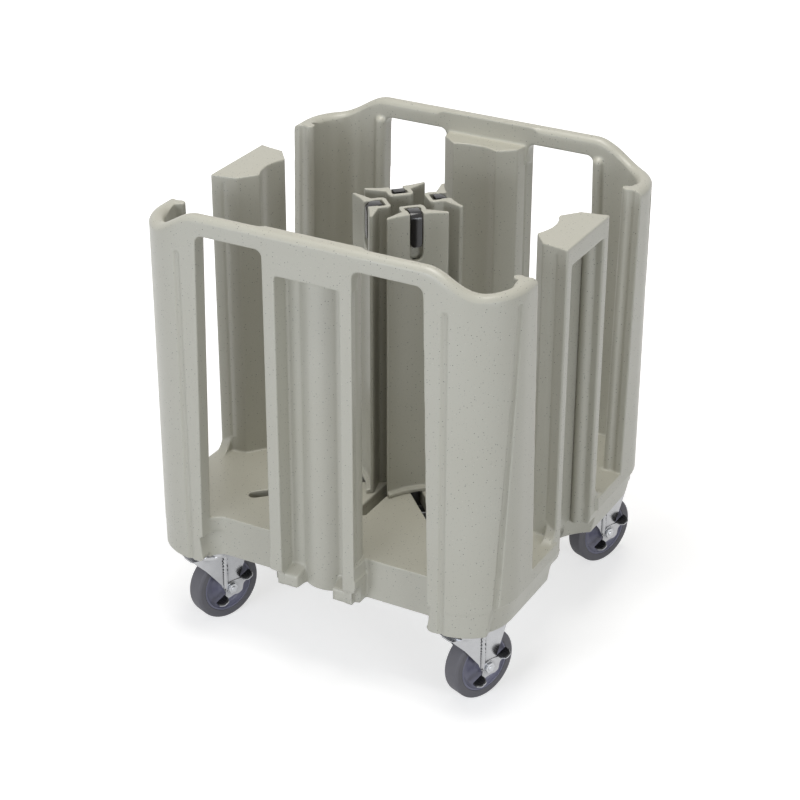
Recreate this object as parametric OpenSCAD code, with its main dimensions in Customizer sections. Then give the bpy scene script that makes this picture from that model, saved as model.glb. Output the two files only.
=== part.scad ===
// Plate dispenser cart. A moulded body with two closed ends, four inner pillars and open sides
// stands on four braked swivel casters. Four plate towers slide along the deck's diagonals,
// so that each corner holds one stack of plates, and each tower is locked by a sprung latch.
// The front of the cart faces -Y, its right side faces +X, and the floor is at Z = 0.

/* [Body] */
// Height of the front and rear rims above the floor
cart_h = 803; // [720:1:880]
// Half of the body's width, to the outside of its corners
body_hx = 335; // [320:1:360]
// Half of the body's depth, to the outside of its front and rear panels
body_hy = 322; // [310:1:350]
// Outside radius of the four upright corners
corner_r = 96; // [70:1:110]
// Thickness of the panels and corners
wall = 25; // [18:1:30]
// Depth of the base, from its underside up to the deck
base_t = 75.5; // [60:0.5:100]
// How much narrower each side of the base is at its underside
base_tuck = 14; // [0:1:20]
// Height of the overhanging sill edge in each side opening
sill_t = 25; // [15:1:35]
// How far the sill edge stands out over the side of the base
sill_lip = 4; // [0:0.5:10]
// Radius of the hollow scooped out of each side of the base under the pillar
scoop_r = 105; // [90:1:130]
// Depth of that hollow at its middle
scoop_depth = 61; // [40:1:70]
// Height of that hollow above the base's underside
scoop_h = 32; // [20:1:45]

/* [Rims and windows] */
// How far the rim falls from the panels to the corners
rim_drop = 37; // [10:1:60]
// Half width of the part of the rim that stays at full height
rim_flat = 203; // [190:1:215]
// Length over which the rim falls
rim_fall = 94; // [60:1:110]
// Height of the rail above each window
rail_h = 33; // [20:1:60]
// Outer edge of each window at its top, from the middle of the panel
win_top_x = 203; // [190:1:215]
// How much further out that edge is at the deck
win_draft = 11.4; // [0:0.2:20]
// Radius in the top corners of the windows
win_r = 12; // [6:1:20]
// How far the base is set back under each window
win_setback = 40.6; // [30:0.2:50]
// Radius where the set-back base runs out to the legs
leg_fillet = 24; // [10:1:35]
// Half width of each side opening, to the edge of the corner
lip_y = 198; // [190:1:210]
// Thickness of the turned-in lip at the edge of each corner
lip_t = 17; // [12:1:24]
// Length of the turned-in lip, from the outside of the body
lip_len = 37; // [30:1:50]
// How much closer to the middle the lip stands at the deck than at its top
lip_lean = 18; // [0:1:22]
// Depth of the shallow flute in the lip's end face
lip_flute = 3; // [1:0.5:5]
// Radius of the upright beads inside the panels, beside the windows
bead_r = 9.5; // [5:0.5:12]
// Distance of each bead from the edge of its window
bead_gap = 10.5; // [9.5:0.5:14]
// Radius of the grooves down the outside of the corners
groove_r = 5; // [3:0.5:8]
// Depth of those grooves
groove_depth = 2.6; // [1:0.2:4]
// Distance of the front grooves from the middle of the panel
groove_x = 240; // [228:1:246]

/* [Pillars] */
// Half width of the front and rear pillars
panel_pillar_hw = 80.4; // [70:0.2:90]
// Half width of the outside pocket in the front and rear pillars
panel_pocket_hw = 58; // [45:1:64]
// Half width of the left and right pillars
side_pillar_hw = 82; // [70:1:90]
// Half width of the outside pocket in the left and right pillars
side_pocket_hw = 61; // [45:1:66]
// How far the left and right pillars' faces stand in from the sides of the body
side_pillar_in = 5; // [0:1:15]
// Depth of the pillars, from the outer face to the tips of the nose
pillar_depth = 72; // [65:1:80]
// Half width across the tips of a pillar's nose
nose_hw = 41; // [30:1:50]
// Depth of the hollow in a pillar's nose
nose_hollow = 11; // [5:1:16]
// Depth of the flank corner, from the outer face
flank_depth = 47; // [42:1:55]
// How much narrower a pillar is at its flank corner
flank_in = 9; // [4:0.5:14]
// Depth of the outside pockets
pocket_depth = 36; // [30:1:40]
// Half width of the round rib inside each pocket
rib_hw = 33; // [20:1:40]
// How far that rib stands out
rib_proud = 12; // [4:1:16]
// Height of the header above each pocket, from a pillar's top
header_h = 34; // [20:1:60]
// Radius where a side pillar runs out into the sill
sill_r = 35; // [15:1:45]

/* [Deck] */
// Width of the slots that guide the towers
slot_w = 20; // [14:1:26]
// Where a slot starts, from the middle of the deck
slot_start = 28; // [26:1:32]
// Where a slot ends, from the middle of the deck
slot_end = 281; // [250:1:290]
// Thickness of the deck above the guide channels
skin_t = 29; // [20:1:36]
// Width of the channels under the slots
channel_w = 50; // [46:1:56]
// Length of the straight grooves toward the front and rear
groove_y = 161; // [120:1:190]
// Thickness of the steel strips that close the channels
strip_t = 3; // [2:0.5:5]

/* [Towers] */
// Height of the towers above the deck
tower_h = 517; // [450:1:540]
// Distance from the middle of the deck to a tower's back, when it is pushed right in
tower_in = 22; // [22:1:26]
// Depth of a tower from its back to the middle of its front
tower_depth = 38; // [34:1:46]
// Half of the distance between the tips of a tower's wings
wing_hw = 52.5; // [46:0.5:60]
// How far the tips of the wings stand out past the middle of the front
wing_sweep = 9.5; // [5:0.5:14]
// Thickness of the wings at their tips
wing_tip = 6; // [4:0.5:8]
// Thickness of the wings where they meet the spine
wing_root = 15; // [10:1:18]
// Width of the hollow in the spine
spine_hollow = 27; // [24:1:30]
// Wall of the spine
spine_wall = 8; // [5:1:10]
// Height of the latch recess at a tower's top
recess_h = 84; // [70:1:120]
// Thickness of the foot flange
foot_t = 8; // [5:1:12]
// How far the foot flange stands out from the tower's front
foot_proud = 8; // [3:1:10]
// How far the front left tower is pulled out
pull_fl = 8; // [0:1:200]
// How far the front right tower is pulled out
pull_fr = 3; // [0:1:200]
// How far the rear left tower is pulled out
pull_rl = 0; // [0:1:200]
// How far the rear right tower is pulled out
pull_rr = 14; // [0:1:200]

/* [Latches] */
// Width of the latch handle
handle_w = 22; // [18:1:24]
// Thickness of the latch handle
handle_t = 6; // [4:1:8]
// Length of the handle's hanging leg
handle_h = 60; // [45:1:66]
// Diameter of the latch rod
rod_d = 8; // [6:0.5:10]
// Diameter of the rod's foot and of its spring collar
collar_d = 16; // [14:0.5:20]
// Lift that frees a latch
latch_lift = 12; // [6:1:16]
// Length of a latch spring when its latch is fully lifted
spring_pressed = 42; // [30:1:60]

/* [Casters] */
// Distance of each caster's swivel from the side of the body
caster_in_x = 83; // [79:1:95]
// Distance of each caster's swivel from the front or rear of the body
caster_in_y = 76; // [72:1:86]
// Overall height of a caster, from the floor to the base
caster_h = 164; // [158:1:180]
// Radius of the wheel
wheel_r = 63.5; // [55:0.5:66]
// Width of the tread
wheel_w = 31; // [24:1:36]
// Radius of the hub's rim, inside the tyre
rim_r = 48.5; // [40:0.5:52]
// Distance from the swivel's axis to the wheel's axis
trail = 25.4; // [20:0.2:34]
// Direction in which the wheels trail, from +X toward +Y
trail_angle = 68.2; // [0:0.1:360]
// Thickness of the fork's sheet
fork_t = 3; // [2:0.5:4]
// Diameter of the axle
axle_d = 9.5; // [8:0.5:12]
// Length of the mounting plate
plate_l = 100; // [96:1:104]
// Width of the mounting plate
plate_w = 80; // [78:1:84]
// Radius of the mounting plate's corners
plate_r = 12; // [4:1:14]
// Thickness of the mounting plate
plate_t = 6; // [4:0.5:8]
// Thickness of the brake lever's sheet
lever_t = 2; // [1.5:0.5:3]
// How far the fork's side plates reach behind the axle at their top
fork_front = 41; // [30:1:44]
// Length of the pedals, along the brake lever
pedal_l = 21; // [16:1:24]
// How far the pedals stand out from the brake lever
pedal_w = 18; // [12:1:20]

/* [Fits] */
// Gap between parts that move past each other
gap = 0.3; // [0.2:0.05:0.5]
// Clearance on the radius where a shaft runs in a hole
run_fit = 0.05; // [0.02:0.01:0.08]

/* [Hidden] */
$fn = 64;
// Cutting shapes reach this far past the faces that they cut
over = 1;
body_colour = [0.78, 0.76, 0.72];
base_z = caster_h;
caster_x = body_hx - caster_in_x;
caster_y = body_hy - caster_in_y;
deck_z = base_z + base_t;
low_rim_z = cart_h - rim_drop;
win_top_z = cart_h - rail_h;
pocket_top_z = low_rim_z - header_h;
skin_z = deck_z - skin_t;
base_hx = body_hx - base_tuck;
pillar_x = body_hx - side_pillar_in;
tower_z = deck_z + gap;
tower_top = tower_z + tower_h;
recess_z = tower_top - recess_h;
spine_hw = spine_hollow / 2 + spine_wall;
front_x = tower_in + tower_depth;
face_r = (pow(wing_hw, 2) + pow(wing_sweep, 2)) / (2 * wing_sweep);
rod_x = tower_in + spine_wall + spine_hollow / 2;
web_t = 6;
flank_mid = 0.4;
lip_step = 1;
hub_edge = 1;
spring_in = 1;
chamber_top = recess_z - web_t;
collar_t = 4;
collar_z = chamber_top - spring_pressed - latch_lift - collar_t;
chamber_under = 6;
chamber_z = collar_z - chamber_under;
chamber_h = chamber_top - chamber_z;
strip_x0 = channel_w / 2 + 1;
neck_back = 8;
neck_out = 4;
neck_x0 = tower_in + neck_back;
neck_x1 = front_x + neck_out;
neck_w = slot_w - 2 * gap;
head_side = 3;
head_w = channel_w - 2 * head_side;
head_t = 12;
head_x0 = slot_start + gap;
head_x1 = neck_x1 + neck_out;
race_h = 8;
crown_h = 12;
race_z = caster_h - plate_t - race_h;
crown_z = race_z - crown_h;
wheel_side = 3;
fork_in = wheel_w / 2 + wheel_side;
fork_out = fork_in + fork_t;
fork_back = 75;
lever_y = fork_out + gap;
pad_back = 33;
pad_back_up = 14;
pad_front = 23;
pad_front_down = 18;
pad_tilt = 26;
lever_r = 16;
lever_neck = 8;
pin_d = 12;
bolt_in_x = 13;
bolt_in_y = 11;
bolt_x = plate_l / 2 - bolt_in_x;
bolt_y = plate_w / 2 - bolt_in_y;
bolt_d = 8;
bolt_depth = 22;
race_r = 33;
pad_t = 3.5;
pad_in = 1;
groove_top_x = 4;
groove_top_y = 72;
groove_low_x = 19;
groove_low_y = 41;
groove_low_z = 29;
groove_rise = 8;
boss_h = 16;
bend_r = 10;
channel_over = 6;
head_h = 5;
bolt_head_d = 13;
nut_d = 16;
pin_nut_d = pin_d + 6;
boss_r = 13;
fork_rib_r = 3.5;
fork_rib_in = 11;
fork_rib_up = 4;
fork_race_over = 3;
hub_boss_r = 14;
hub_web_r = 17;
hub_web_in = 8;
hub_web_out = 5;
hub_rim_t = 3;
tread_round = 4;
CORNERS = [[-1, -1], [1, -1], [-1, 1], [1, 1]];
PULL = [pull_fl, pull_fr, pull_rl, pull_rr];

// Helpers

// A round bar from point p to point q
module bar(p, q, r) {
    d = q - p;
    translate(p)
        rotate([0, acos(d[2] / norm(d)), atan2(d[1], d[0])])
            cylinder(h = norm(d), r = r);
}

// An outline drawn in X and Z, extruded from y0 to y1
module along_y(y0, y1) {
    translate([0, y1, 0])
        rotate([90, 0, 0])
            linear_extrude(y1 - y0)
                children();
}

// An outline drawn in Y and Z, extruded from x0 to x1
module along_x(x0, x1) {
    translate([x0, 0, 0])
        rotate([90, 0, 90])
            linear_extrude(x1 - x0)
                children();
}

// The children mirrored from the rear right quarter into the quarter of signs s
module quarter(s) {
    mirror([s[0] < 0 ? 1 : 0, 0, 0])
        mirror([0, s[1] < 0 ? 1 : 0, 0])
            children();
}

// A concave fillet of radius r in the corner at the origin, filling +X and +Y. It runs on by
// into_x past the Y axis and by into_y past the X axis, into the solids that it joins.
module fillet2d(r, into_x = 0, into_y = 0) {
    difference() {
        translate([-into_x, -into_y]) square([r + into_x, r + into_y]);
        translate([r, r]) circle(r);
    }
}

// Body

// Plan of the body, drawn in by inset, with half width hx
module body_plan(inset, hx) {
    r = corner_r - inset;
    x = hx - corner_r;
    y = body_hy - corner_r;
    square([2 * (x + r), 2 * y], center = true);
    square([2 * x, 2 * (y + r)], center = true);
    for (s = CORNERS) translate([s[0] * x, s[1] * y]) circle(r);
}

// Section of a pillar, across in X and inward in Y, with its outer face on Y = 0
module pillar_section(hw) {
    hollow_r = (pow(nose_hw, 2) + pow(nose_hollow, 2)) / (2 * nose_hollow);
    difference() {
        polygon([
            [-hw, 0], [hw, 0], [hw - flank_in / 2, flank_depth * flank_mid],
            [hw - flank_in, flank_depth], [nose_hw, pillar_depth],
            [-nose_hw, pillar_depth], [flank_in - hw, flank_depth],
            [flank_in / 2 - hw, flank_depth * flank_mid]
        ]);
        translate([0, pillar_depth - nose_hollow + hollow_r]) circle(hollow_r);
    }
}

// Section of the pocket in a pillar's outer face, with its round rib left standing
module pocket_section(hw, out = over) {
    rib_r = (pow(rib_hw, 2) + pow(rib_proud, 2)) / (2 * rib_proud);
    difference() {
        translate([-hw, -out]) square([2 * hw, pocket_depth + out]);
        translate([0, pocket_depth - rib_proud + rib_r]) circle(rib_r);
    }
}

// The children moved to the outer face of the front or rear panel (side -1 or 1)
module on_panel(side) {
    translate([0, side * body_hy, 0])
        rotate([0, 0, side < 0 ? 0 : 180])
            children();
}

// The children moved to the outer face of the left or right pillar (side -1 or 1)
module on_side(side) {
    translate([side * pillar_x, 0, 0])
        rotate([0, 0, side < 0 ? -90 : 90])
            children();
}

// Plan of the base with its set-back stretches under the windows
module base_plan(hx) {
    edge = win_top_x + win_draft;
    back_y = body_hy - win_setback;
    difference() {
        body_plan(0, hx);
        for (s = CORNERS) quarter(s) {
            difference() {
                translate([panel_pillar_hw, back_y])
                    square([edge - panel_pillar_hw, win_setback + over]);
                translate([edge, back_y]) mirror([1, 0]) fillet2d(leg_fillet);
            }
        }
    }
}

module base_deck() color(body_colour) difference() {
    union() {
        translate([0, 0, base_z])
            linear_extrude(base_t - sill_t, scale = [(body_hx - sill_lip) / base_hx, 1],
                           slices = 1, segments = 1)
                base_plan(base_hx);
        translate([0, 0, deck_z - sill_t])
            linear_extrude(sill_t)
                base_plan(body_hx);
        // Core that runs through the plane where the two stretches of the base meet
        translate([0, 0, deck_z - sill_t - over])
            linear_extrude(2 * over)
                base_plan(base_hx);
    }
    // Pockets of the four pillars run down through the base
    for (side = [-1, 1]) {
        on_panel(side)
            translate([0, 0, base_z - over])
                linear_extrude(base_t + 2 * over)
                    pocket_section(panel_pocket_hw);
        on_side(side)
            translate([0, 0, base_z - over])
                linear_extrude(base_t + 2 * over)
                    pocket_section(side_pocket_hw, side_pillar_in + over);
        // The side faces of the base stand in line with the side pillars
        translate([side * (pillar_x + side_pillar_in), 0, deck_z - sill_t / 2])
            cube([2 * side_pillar_in, 2 * side_pillar_hw, sill_t + 2 * over], center = true);
        // Scooped hollow under each side pillar
        translate([side * (body_hx + scoop_r - scoop_depth), 0, base_z - over])
            cylinder(h = scoop_h + over, r = scoop_r);
    }
    for (s = CORNERS) quarter(s) rotate([0, 0, 45]) deck_slot();
    for (side = [-1, 1])
        translate([-slot_w / 2, side < 0 ? -groove_y : slot_start, skin_z])
            cube([slot_w, groove_y - slot_start, skin_t + over]);
    for (s = CORNERS) quarter(s) {
        front_groove();
        side_groove();
        caster_holes();
    }
}

// One guide slot along +X: a slot through the deck and a wider channel under it
module deck_slot() {
    translate([0, 0, skin_z - over]) {
        linear_extrude(skin_t + 2 * over) {
            translate([slot_start, -slot_w / 2]) square([slot_end - slot_w / 2 - slot_start, slot_w]);
            translate([slot_end - slot_w / 2, 0]) circle(slot_w / 2);
        }
    }
    translate([0, -channel_w / 2, base_z - over])
        cube([slot_end + channel_over, channel_w, skin_z - base_z + over]);
}

// Upright groove in the panel's outer face beside each leg
module front_groove() {
    y = body_hy - groove_depth + groove_r;
    top = pocket_top_z;
    bar([groove_x, y, base_z - over], [groove_x, y, top], groove_r);
    translate([groove_x, y, top]) sphere(groove_r);
}

// Leaning groove round the side of each corner
module side_groove() {
    top = [body_hx - groove_top_x, body_hy - groove_top_y, pocket_top_z + groove_rise];
    low = [body_hx - groove_low_x, body_hy - groove_low_y, base_z + groove_low_z];
    out = groove_r - groove_depth;
    bar(low + [out, out / 2, 0], top + [out, 0, 0], groove_r);
}

// Blind holes for the bolts of the caster in the rear right quarter
module caster_holes() {
    for (x = [-1, 1], y = [-1, 1])
        translate([caster_x + x * bolt_x, caster_y + y * bolt_y, base_z - over])
            cylinder(h = bolt_depth + over, d = bolt_d);
}

// Height of the falling rim at a distance x from the middle of the panel
function rim_z(x) =
    let (t = min(1, max(0, (x - rim_flat) / rim_fall)))
    cart_h - rim_drop * (1 - cos(180 * t)) / 2;

// Upright corner wall of the rear right quarter, from the deck to the falling rim
module corner_wall() {
    steps = 16;
    edge = win_top_x + win_draft;
    difference() {
        intersection() {
            union() {
                translate([0, 0, deck_z])
                    linear_extrude(cart_h - deck_z)
                        difference() {
                            body_plan(0, body_hx);
                            body_plan(wall, body_hx);
                        }
                leaning_lip();
                window_bead();
            }
            along_y(0, body_hy)
                polygon([
                    [win_top_x, cart_h], [win_top_x, win_top_z], [edge, deck_z],
                    [body_hx + over, deck_z], [body_hx + over, cart_h]
                ]);
            along_x(0, body_hx)
                polygon([
                    [lip_y, cart_h], [lip_y, low_rim_z], [lip_y - lip_lean, deck_z],
                    [body_hy, deck_z], [body_hy, cart_h]
                ]);
        }
        along_y(lip_y - lip_lean - over, body_hy + over)
            polygon(concat(
                [for (i = [0:steps]) let (x = rim_flat + rim_fall * i / steps) [x, rim_z(x)]],
                [[body_hx + over, low_rim_z], [body_hx + over, cart_h + over],
                 [rim_flat, cart_h + over]]
            ));
        // Shallow flute down the lip's end face
        bar([body_hx - lip_len / 2, lip_y - lip_lean - lip_len / 4 + lip_flute, deck_z - over],
            [body_hx - lip_len / 2, lip_y - lip_len / 4 + lip_flute, low_rim_z + over],
            lip_len / 4);
        front_groove();
        side_groove();
    }
}

// Turned-in lip at the corner's free edge, which leans toward the middle on its way down and
// ends in a round nose
module leaning_lip() {
    r = lip_t / 2 - lip_step;
    x = body_hx - lip_len + r;
    y = lip_y + lip_t / 2;
    along_x(x, body_hx - over)
        polygon([
            [lip_y - over, low_rim_z], [lip_y + lip_t, low_rim_z],
            [lip_y + lip_t - lip_lean, deck_z], [lip_y - over - lip_lean, deck_z]
        ]);
    bar([x, y - lip_lean, deck_z], [x, y, low_rim_z], r);
}

// Half-round bead inside the panel that follows the window's leaning edge
module window_bead() {
    x = win_top_x + bead_gap;
    y = body_hy - wall;
    top = win_top_z - bead_r;
    bar([x + win_draft, y, deck_z - over], [x, y, top], bead_r);
    translate([x, y, top]) sphere(bead_r);
}

// Front or rear pillar with the rail that runs over both of its windows
module panel_pillar() color(body_colour) {
    difference() {
        union() {
            translate([0, 0, deck_z])
                linear_extrude(low_rim_z - deck_z)
                    pillar_section(panel_pillar_hw);
            translate([-panel_pillar_hw, 0, pocket_top_z])
                cube([2 * panel_pillar_hw, wall, cart_h - pocket_top_z]);
            translate([-win_top_x, 0, win_top_z])
                cube([2 * win_top_x, wall, rail_h]);
            for (s = [0, 1]) mirror([s, 0, 0]) {
                translate([panel_pillar_hw, 0, win_top_z]) along_y(0, wall)
                    mirror([0, 1]) fillet2d(win_r, over, over);
                translate([win_top_x, 0, win_top_z]) along_y(0, wall)
                    mirror([1, 0]) mirror([0, 1]) fillet2d(win_r, 0, over);
            }
        }
        translate([0, 0, deck_z - over])
            linear_extrude(pocket_top_z - deck_z + over)
                pocket_section(panel_pocket_hw);
    }
}

// Free-standing left or right pillar, which flares into the sill
module side_pillar() color(body_colour) {
    difference() {
        union() {
            translate([0, 0, deck_z])
                linear_extrude(low_rim_z - deck_z)
                    pillar_section(side_pillar_hw);
            for (s = [0, 1]) mirror([s, 0, 0])
                translate([side_pillar_hw - flank_in / 2, 0, deck_z])
                    along_y(0, flank_depth * flank_mid) fillet2d(sill_r, flank_in, 0);
        }
        translate([0, 0, deck_z - over])
            linear_extrude(pocket_top_z - deck_z + over)
                pocket_section(side_pocket_hw);
    }
}

// Deck fittings

// Steel strips that close the guide channels from below
module track_strips() color("silver")
    for (s = CORNERS) quarter(s) rotate([0, 0, 45])
        translate([strip_x0, gap - channel_w / 2, base_z])
            cube([slot_end + channel_over - strip_x0 - gap, channel_w - 2 * gap, strip_t]);

// Towers

// The children placed on the diagonal of corner i, pulled out as that tower is
module on_diagonal(i) {
    a = atan2(CORNERS[i][1], CORNERS[i][0]);
    rotate([0, 0, a]) translate([PULL[i], 0, 0]) children();
}

// Arc of the tower's hollow front, pushed forward by d, as a list of points
function front_arc(d) = [
    for (i = [-8:8])
        let (a = asin(wing_hw / face_r) * i / 8)
        [front_x + d + face_r * (1 - cos(a)), face_r * sin(a)]
];

// Plan of a tower: swept wings with a hollow front and a spine behind
module tower_plan() {
    tip_x = front_x + wing_sweep - wing_tip;
    polygon(concat(
        front_arc(0),
        [[tip_x, wing_hw], [front_x - wing_root, spine_hw]],
        [[front_x - wing_root, -spine_hw], [tip_x, -wing_hw]]
    ));
    translate([tower_in + spine_wall, -spine_hw])
        square([tower_depth - spine_wall - wing_tip, 2 * spine_hw]);
    for (s = [-1, 1])
        translate([tower_in + spine_wall, s * (spine_hw - spine_wall)]) circle(spine_wall);
    translate([tower_in, spine_wall - spine_hw])
        square([spine_wall, 2 * (spine_hw - spine_wall)]);
}

// Plan of the foot flange, which stands out in front of the tower
module foot_plan() {
    polygon(concat(
        front_arc(foot_proud),
        [for (i = [16:-1:0]) front_arc(-wing_tip)[i]]
    ));
}

module tower(i) color(body_colour) on_diagonal(i) difference() {
    hollow_x0 = tower_in + spine_wall;
    hollow_x1 = front_x - wing_tip;
    union() {
        translate([0, 0, tower_z]) linear_extrude(tower_h) tower_plan();
        translate([0, 0, tower_z]) linear_extrude(foot_t) foot_plan();
    }
    // Hollow of the spine, open at the top and at the front beside the latch handle
    translate([hollow_x0, -spine_hollow / 2, recess_z])
        cube([hollow_x1 - hollow_x0, spine_hollow, recess_h + over]);
    translate([hollow_x0, 0, recess_z + spine_hollow / 2])
        along_x_slot(tower_depth + wing_sweep, spine_hollow, recess_h);
    // Closed chamber for the latch spring
    translate([hollow_x0, -spine_hollow / 2, chamber_z])
        cube([hollow_x1 - hollow_x0, spine_hollow, chamber_h]);
    translate([rod_x, 0, tower_z - over]) cylinder(h = tower_h, r = rod_d / 2 + run_fit);
}

// A cut of width w through the front, with a round lower end at the origin
module along_x_slot(depth, w, h) {
    translate([0, -w / 2, 0]) cube([depth, w, h]);
    rotate([0, 90, 0]) cylinder(h = depth, d = w);
}

// Block that holds a tower's foot to the deck: a neck in the slot and a head under the skin
module slide(i) color("dimgray") on_diagonal(i) difference() {
    head_z = skin_z - gap - head_t;
    union() {
        translate([0, 0, head_z]) linear_extrude(tower_z - head_z) {
            translate([neck_x0, -neck_w / 2])
                square([neck_x1 - neck_w / 2 - neck_x0, neck_w]);
            translate([neck_x1 - neck_w / 2, 0]) circle(neck_w / 2);
        }
        translate([head_x0, -head_w / 2, head_z])
            cube([head_x1 - head_x0, head_w, head_t]);
    }
    translate([rod_x, 0, base_z]) cylinder(h = base_t + over, r = rod_d / 2 + run_fit);
}

// Latch handle: a leg in the recess, bent over the top and down to the rod
module handle(i) color([0.1, 0.1, 0.1]) on_diagonal(i) {
    top = tower_top;
    leg_x = front_x - wing_tip;
    back_x = rod_x - collar_d / 2;
    difference() {
        union() {
            translate([0, 0, top]) along_y(-handle_w / 2, handle_w / 2) intersection() {
                union() {
                    translate([back_x, -handle_t]) square([leg_x + handle_t - back_x, handle_t]);
                    translate([leg_x, -handle_h]) square([handle_t, handle_h]);
                }
                union() {
                    translate([back_x, -handle_h])
                        square([leg_x + handle_t - bend_r - back_x, handle_h]);
                    translate([back_x, -handle_h])
                        square([leg_x + handle_t - back_x, handle_h - bend_r]);
                    translate([leg_x + handle_t - bend_r, -bend_r]) circle(bend_r);
                }
            }
            translate([rod_x, 0, top - handle_t - boss_h])
                cylinder(h = boss_h + handle_t / 2, d = collar_d);
        }
        translate([rod_x, 0, top - handle_t - boss_h - over])
            cylinder(h = boss_h + over, d = rod_d);
    }
}

// Latch rod with the collar that its spring pushes on and the foot that grips the strip
module rod(i) color("silver") on_diagonal(i) translate([rod_x, 0, 0]) {
    foot_z = base_z + strip_t + gap;
    translate([0, 0, foot_z]) cylinder(h = collar_t, d = collar_d);
    translate([0, 0, foot_z]) cylinder(h = tower_top - handle_t - foot_z, d = rod_d);
    translate([0, 0, collar_z]) cylinder(h = collar_t, d = collar_d);
}

// Return spring of a latch, as the sleeve that its coils fill
module spring(i) color("silver") on_diagonal(i)
    translate([rod_x, 0, collar_z + collar_t]) difference() {
        cylinder(h = chamber_top - collar_z - collar_t, d = collar_d - 2 * spring_in);
        translate([0, 0, -over])
            cylinder(h = chamber_h, d = rod_d + 4 * gap);
    }

// Casters

// The children placed under corner i, at its caster's swivel
module at_caster(i) {
    translate([CORNERS[i][0] * caster_x, CORNERS[i][1] * caster_y, 0]) children();
}

// The children placed at the swivel of corner i, with +X along the trail
module on_swivel(i) {
    at_caster(i) rotate([0, 0, trail_angle]) children();
}

// The children placed on the axle of corner i, with +Z toward the braked side
module on_axle(i) {
    on_swivel(i) translate([trail, 0, wheel_r]) rotate([90, 0, 0]) children();
}

// Plan of a mounting plate, with round corners
module plate_plan() {
    square([plate_l - 2 * plate_r, plate_w], center = true);
    square([plate_l, plate_w - 2 * plate_r], center = true);
    for (s = CORNERS)
        translate([s[0] * (plate_l / 2 - plate_r), s[1] * (plate_w / 2 - plate_r)])
            circle(plate_r);
}

// Mounting plate with the fixed half of the swivel race
module plate(i) color("silver")
    at_caster(i) difference() {
        union() {
            translate([0, 0, caster_h - plate_t]) linear_extrude(plate_t) plate_plan();
            translate([0, 0, race_z + gap])
                cylinder(h = caster_h - plate_t / 2 - race_z - gap, r = race_r);
        }
        cylinder(h = caster_h + over, d = pin_d);
        for (x = [-1, 1], y = [-1, 1])
            translate([x * bolt_x, y * bolt_y, caster_h - plate_t - over])
                cylinder(h = plate_t + 2 * over, d = bolt_d);
    }

// Swivel fork: two tapering side plates under a crown with the moving half of the race
module fork(i) color("silver") on_swivel(i) {
    difference() {
        union() {
            for (s = [-1, 1]) fork_side(s);
            translate([trail - fork_back, -fork_out, crown_z - fork_t])
                cube([fork_back + fork_front, 2 * fork_out, fork_t]);
            translate([0, 0, crown_z - fork_t])
                cylinder(h = race_z - crown_z + fork_t, r = race_r + fork_race_over);
        }
        translate([0, 0, crown_z - fork_t - over])
            cylinder(h = race_z - crown_z + fork_t + 2 * over, r = pin_d / 2 + run_fit);
    }
}

// One side plate of a fork, on side s of the wheel, with its pressed rib
module fork_side(s) {
    y0 = s < 0 ? -fork_out : fork_in;
    difference() {
        union() {
            along_y(y0, y0 + fork_t) {
                polygon([
                    [trail - fork_back, crown_z - fork_t], [trail - fork_back, crown_z],
                    [trail + fork_front, crown_z], [trail + fork_front, crown_z - fork_t],
                    [trail + boss_r, wheel_r], [trail - boss_r, wheel_r]
                ]);
                translate([trail, wheel_r]) circle(boss_r);
            }
            bar([trail - fork_rib_in, s * (fork_out - over), wheel_r + boss_r + fork_rib_up],
                [trail - fork_rib_in, s * (fork_out - over), crown_z - fork_t / 2], fork_rib_r);
        }
        translate([trail, y0 - over, wheel_r])
            rotate([-90, 0, 0]) cylinder(h = fork_t + 2 * over, r = axle_d / 2 + run_fit);
    }
}

// Kingpins that hold the forks to their plates
module kingpins() color("gray")
    for (i = [0:3]) on_swivel(i) {
        head_z = crown_z - fork_t - gap - head_h;
        translate([0, 0, head_z + head_h / 2]) cylinder(h = caster_h - head_z - head_h / 2, d = pin_d);
        translate([0, 0, head_z]) cylinder(h = head_h, d = pin_nut_d, $fn = 6);
    }

// Bolts that hold the mounting plates to the base
module caster_bolts() color("silver")
    for (s = CORNERS) quarter(s)
        for (x = [-1, 1], y = [-1, 1])
            translate([caster_x + x * bolt_x, caster_y + y * bolt_y, caster_h - plate_t - head_h]) {
                translate([0, 0, head_h / 2])
                    cylinder(h = head_h / 2 + plate_t + bolt_depth - over, d = bolt_d);
                cylinder(h = head_h, d = bolt_head_d, $fn = 6);
            }

// Axle bolt with its head on the plain side and its nut over the brake lever
module axle(i) color("silver") on_axle(i) {
    nut_z = lever_y + lever_t + gap;
    head_z = -fork_out - gap - head_h;
    translate([0, 0, head_z + head_h / 2]) cylinder(h = nut_z - head_z, d = axle_d);
    translate([0, 0, head_z]) cylinder(h = head_h, d = nut_d, $fn = 6);
    translate([0, 0, nut_z]) cylinder(h = head_h, d = nut_d, $fn = 6);
}

// Dished hub with a bore for the axle
module hub(i) color([0.5, 0.5, 0.58]) on_axle(i)
    rotate_extrude() polygon([
        [axle_d / 2 + run_fit, -fork_in + gap], [hub_boss_r, -fork_in + gap],
        [hub_web_r, -hub_web_in], [rim_r - 2 * hub_rim_t, -hub_web_out],
        [rim_r - hub_rim_t, -wheel_w / 2 + hub_edge], [rim_r, -wheel_w / 2 + hub_edge],
        [rim_r, wheel_w / 2 - hub_edge], [rim_r - hub_rim_t, wheel_w / 2 - hub_edge],
        [rim_r - 2 * hub_rim_t, hub_web_out], [hub_web_r, hub_web_in],
        [hub_boss_r, fork_in - gap], [axle_d / 2 + run_fit, fork_in - gap]
    ]);

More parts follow.
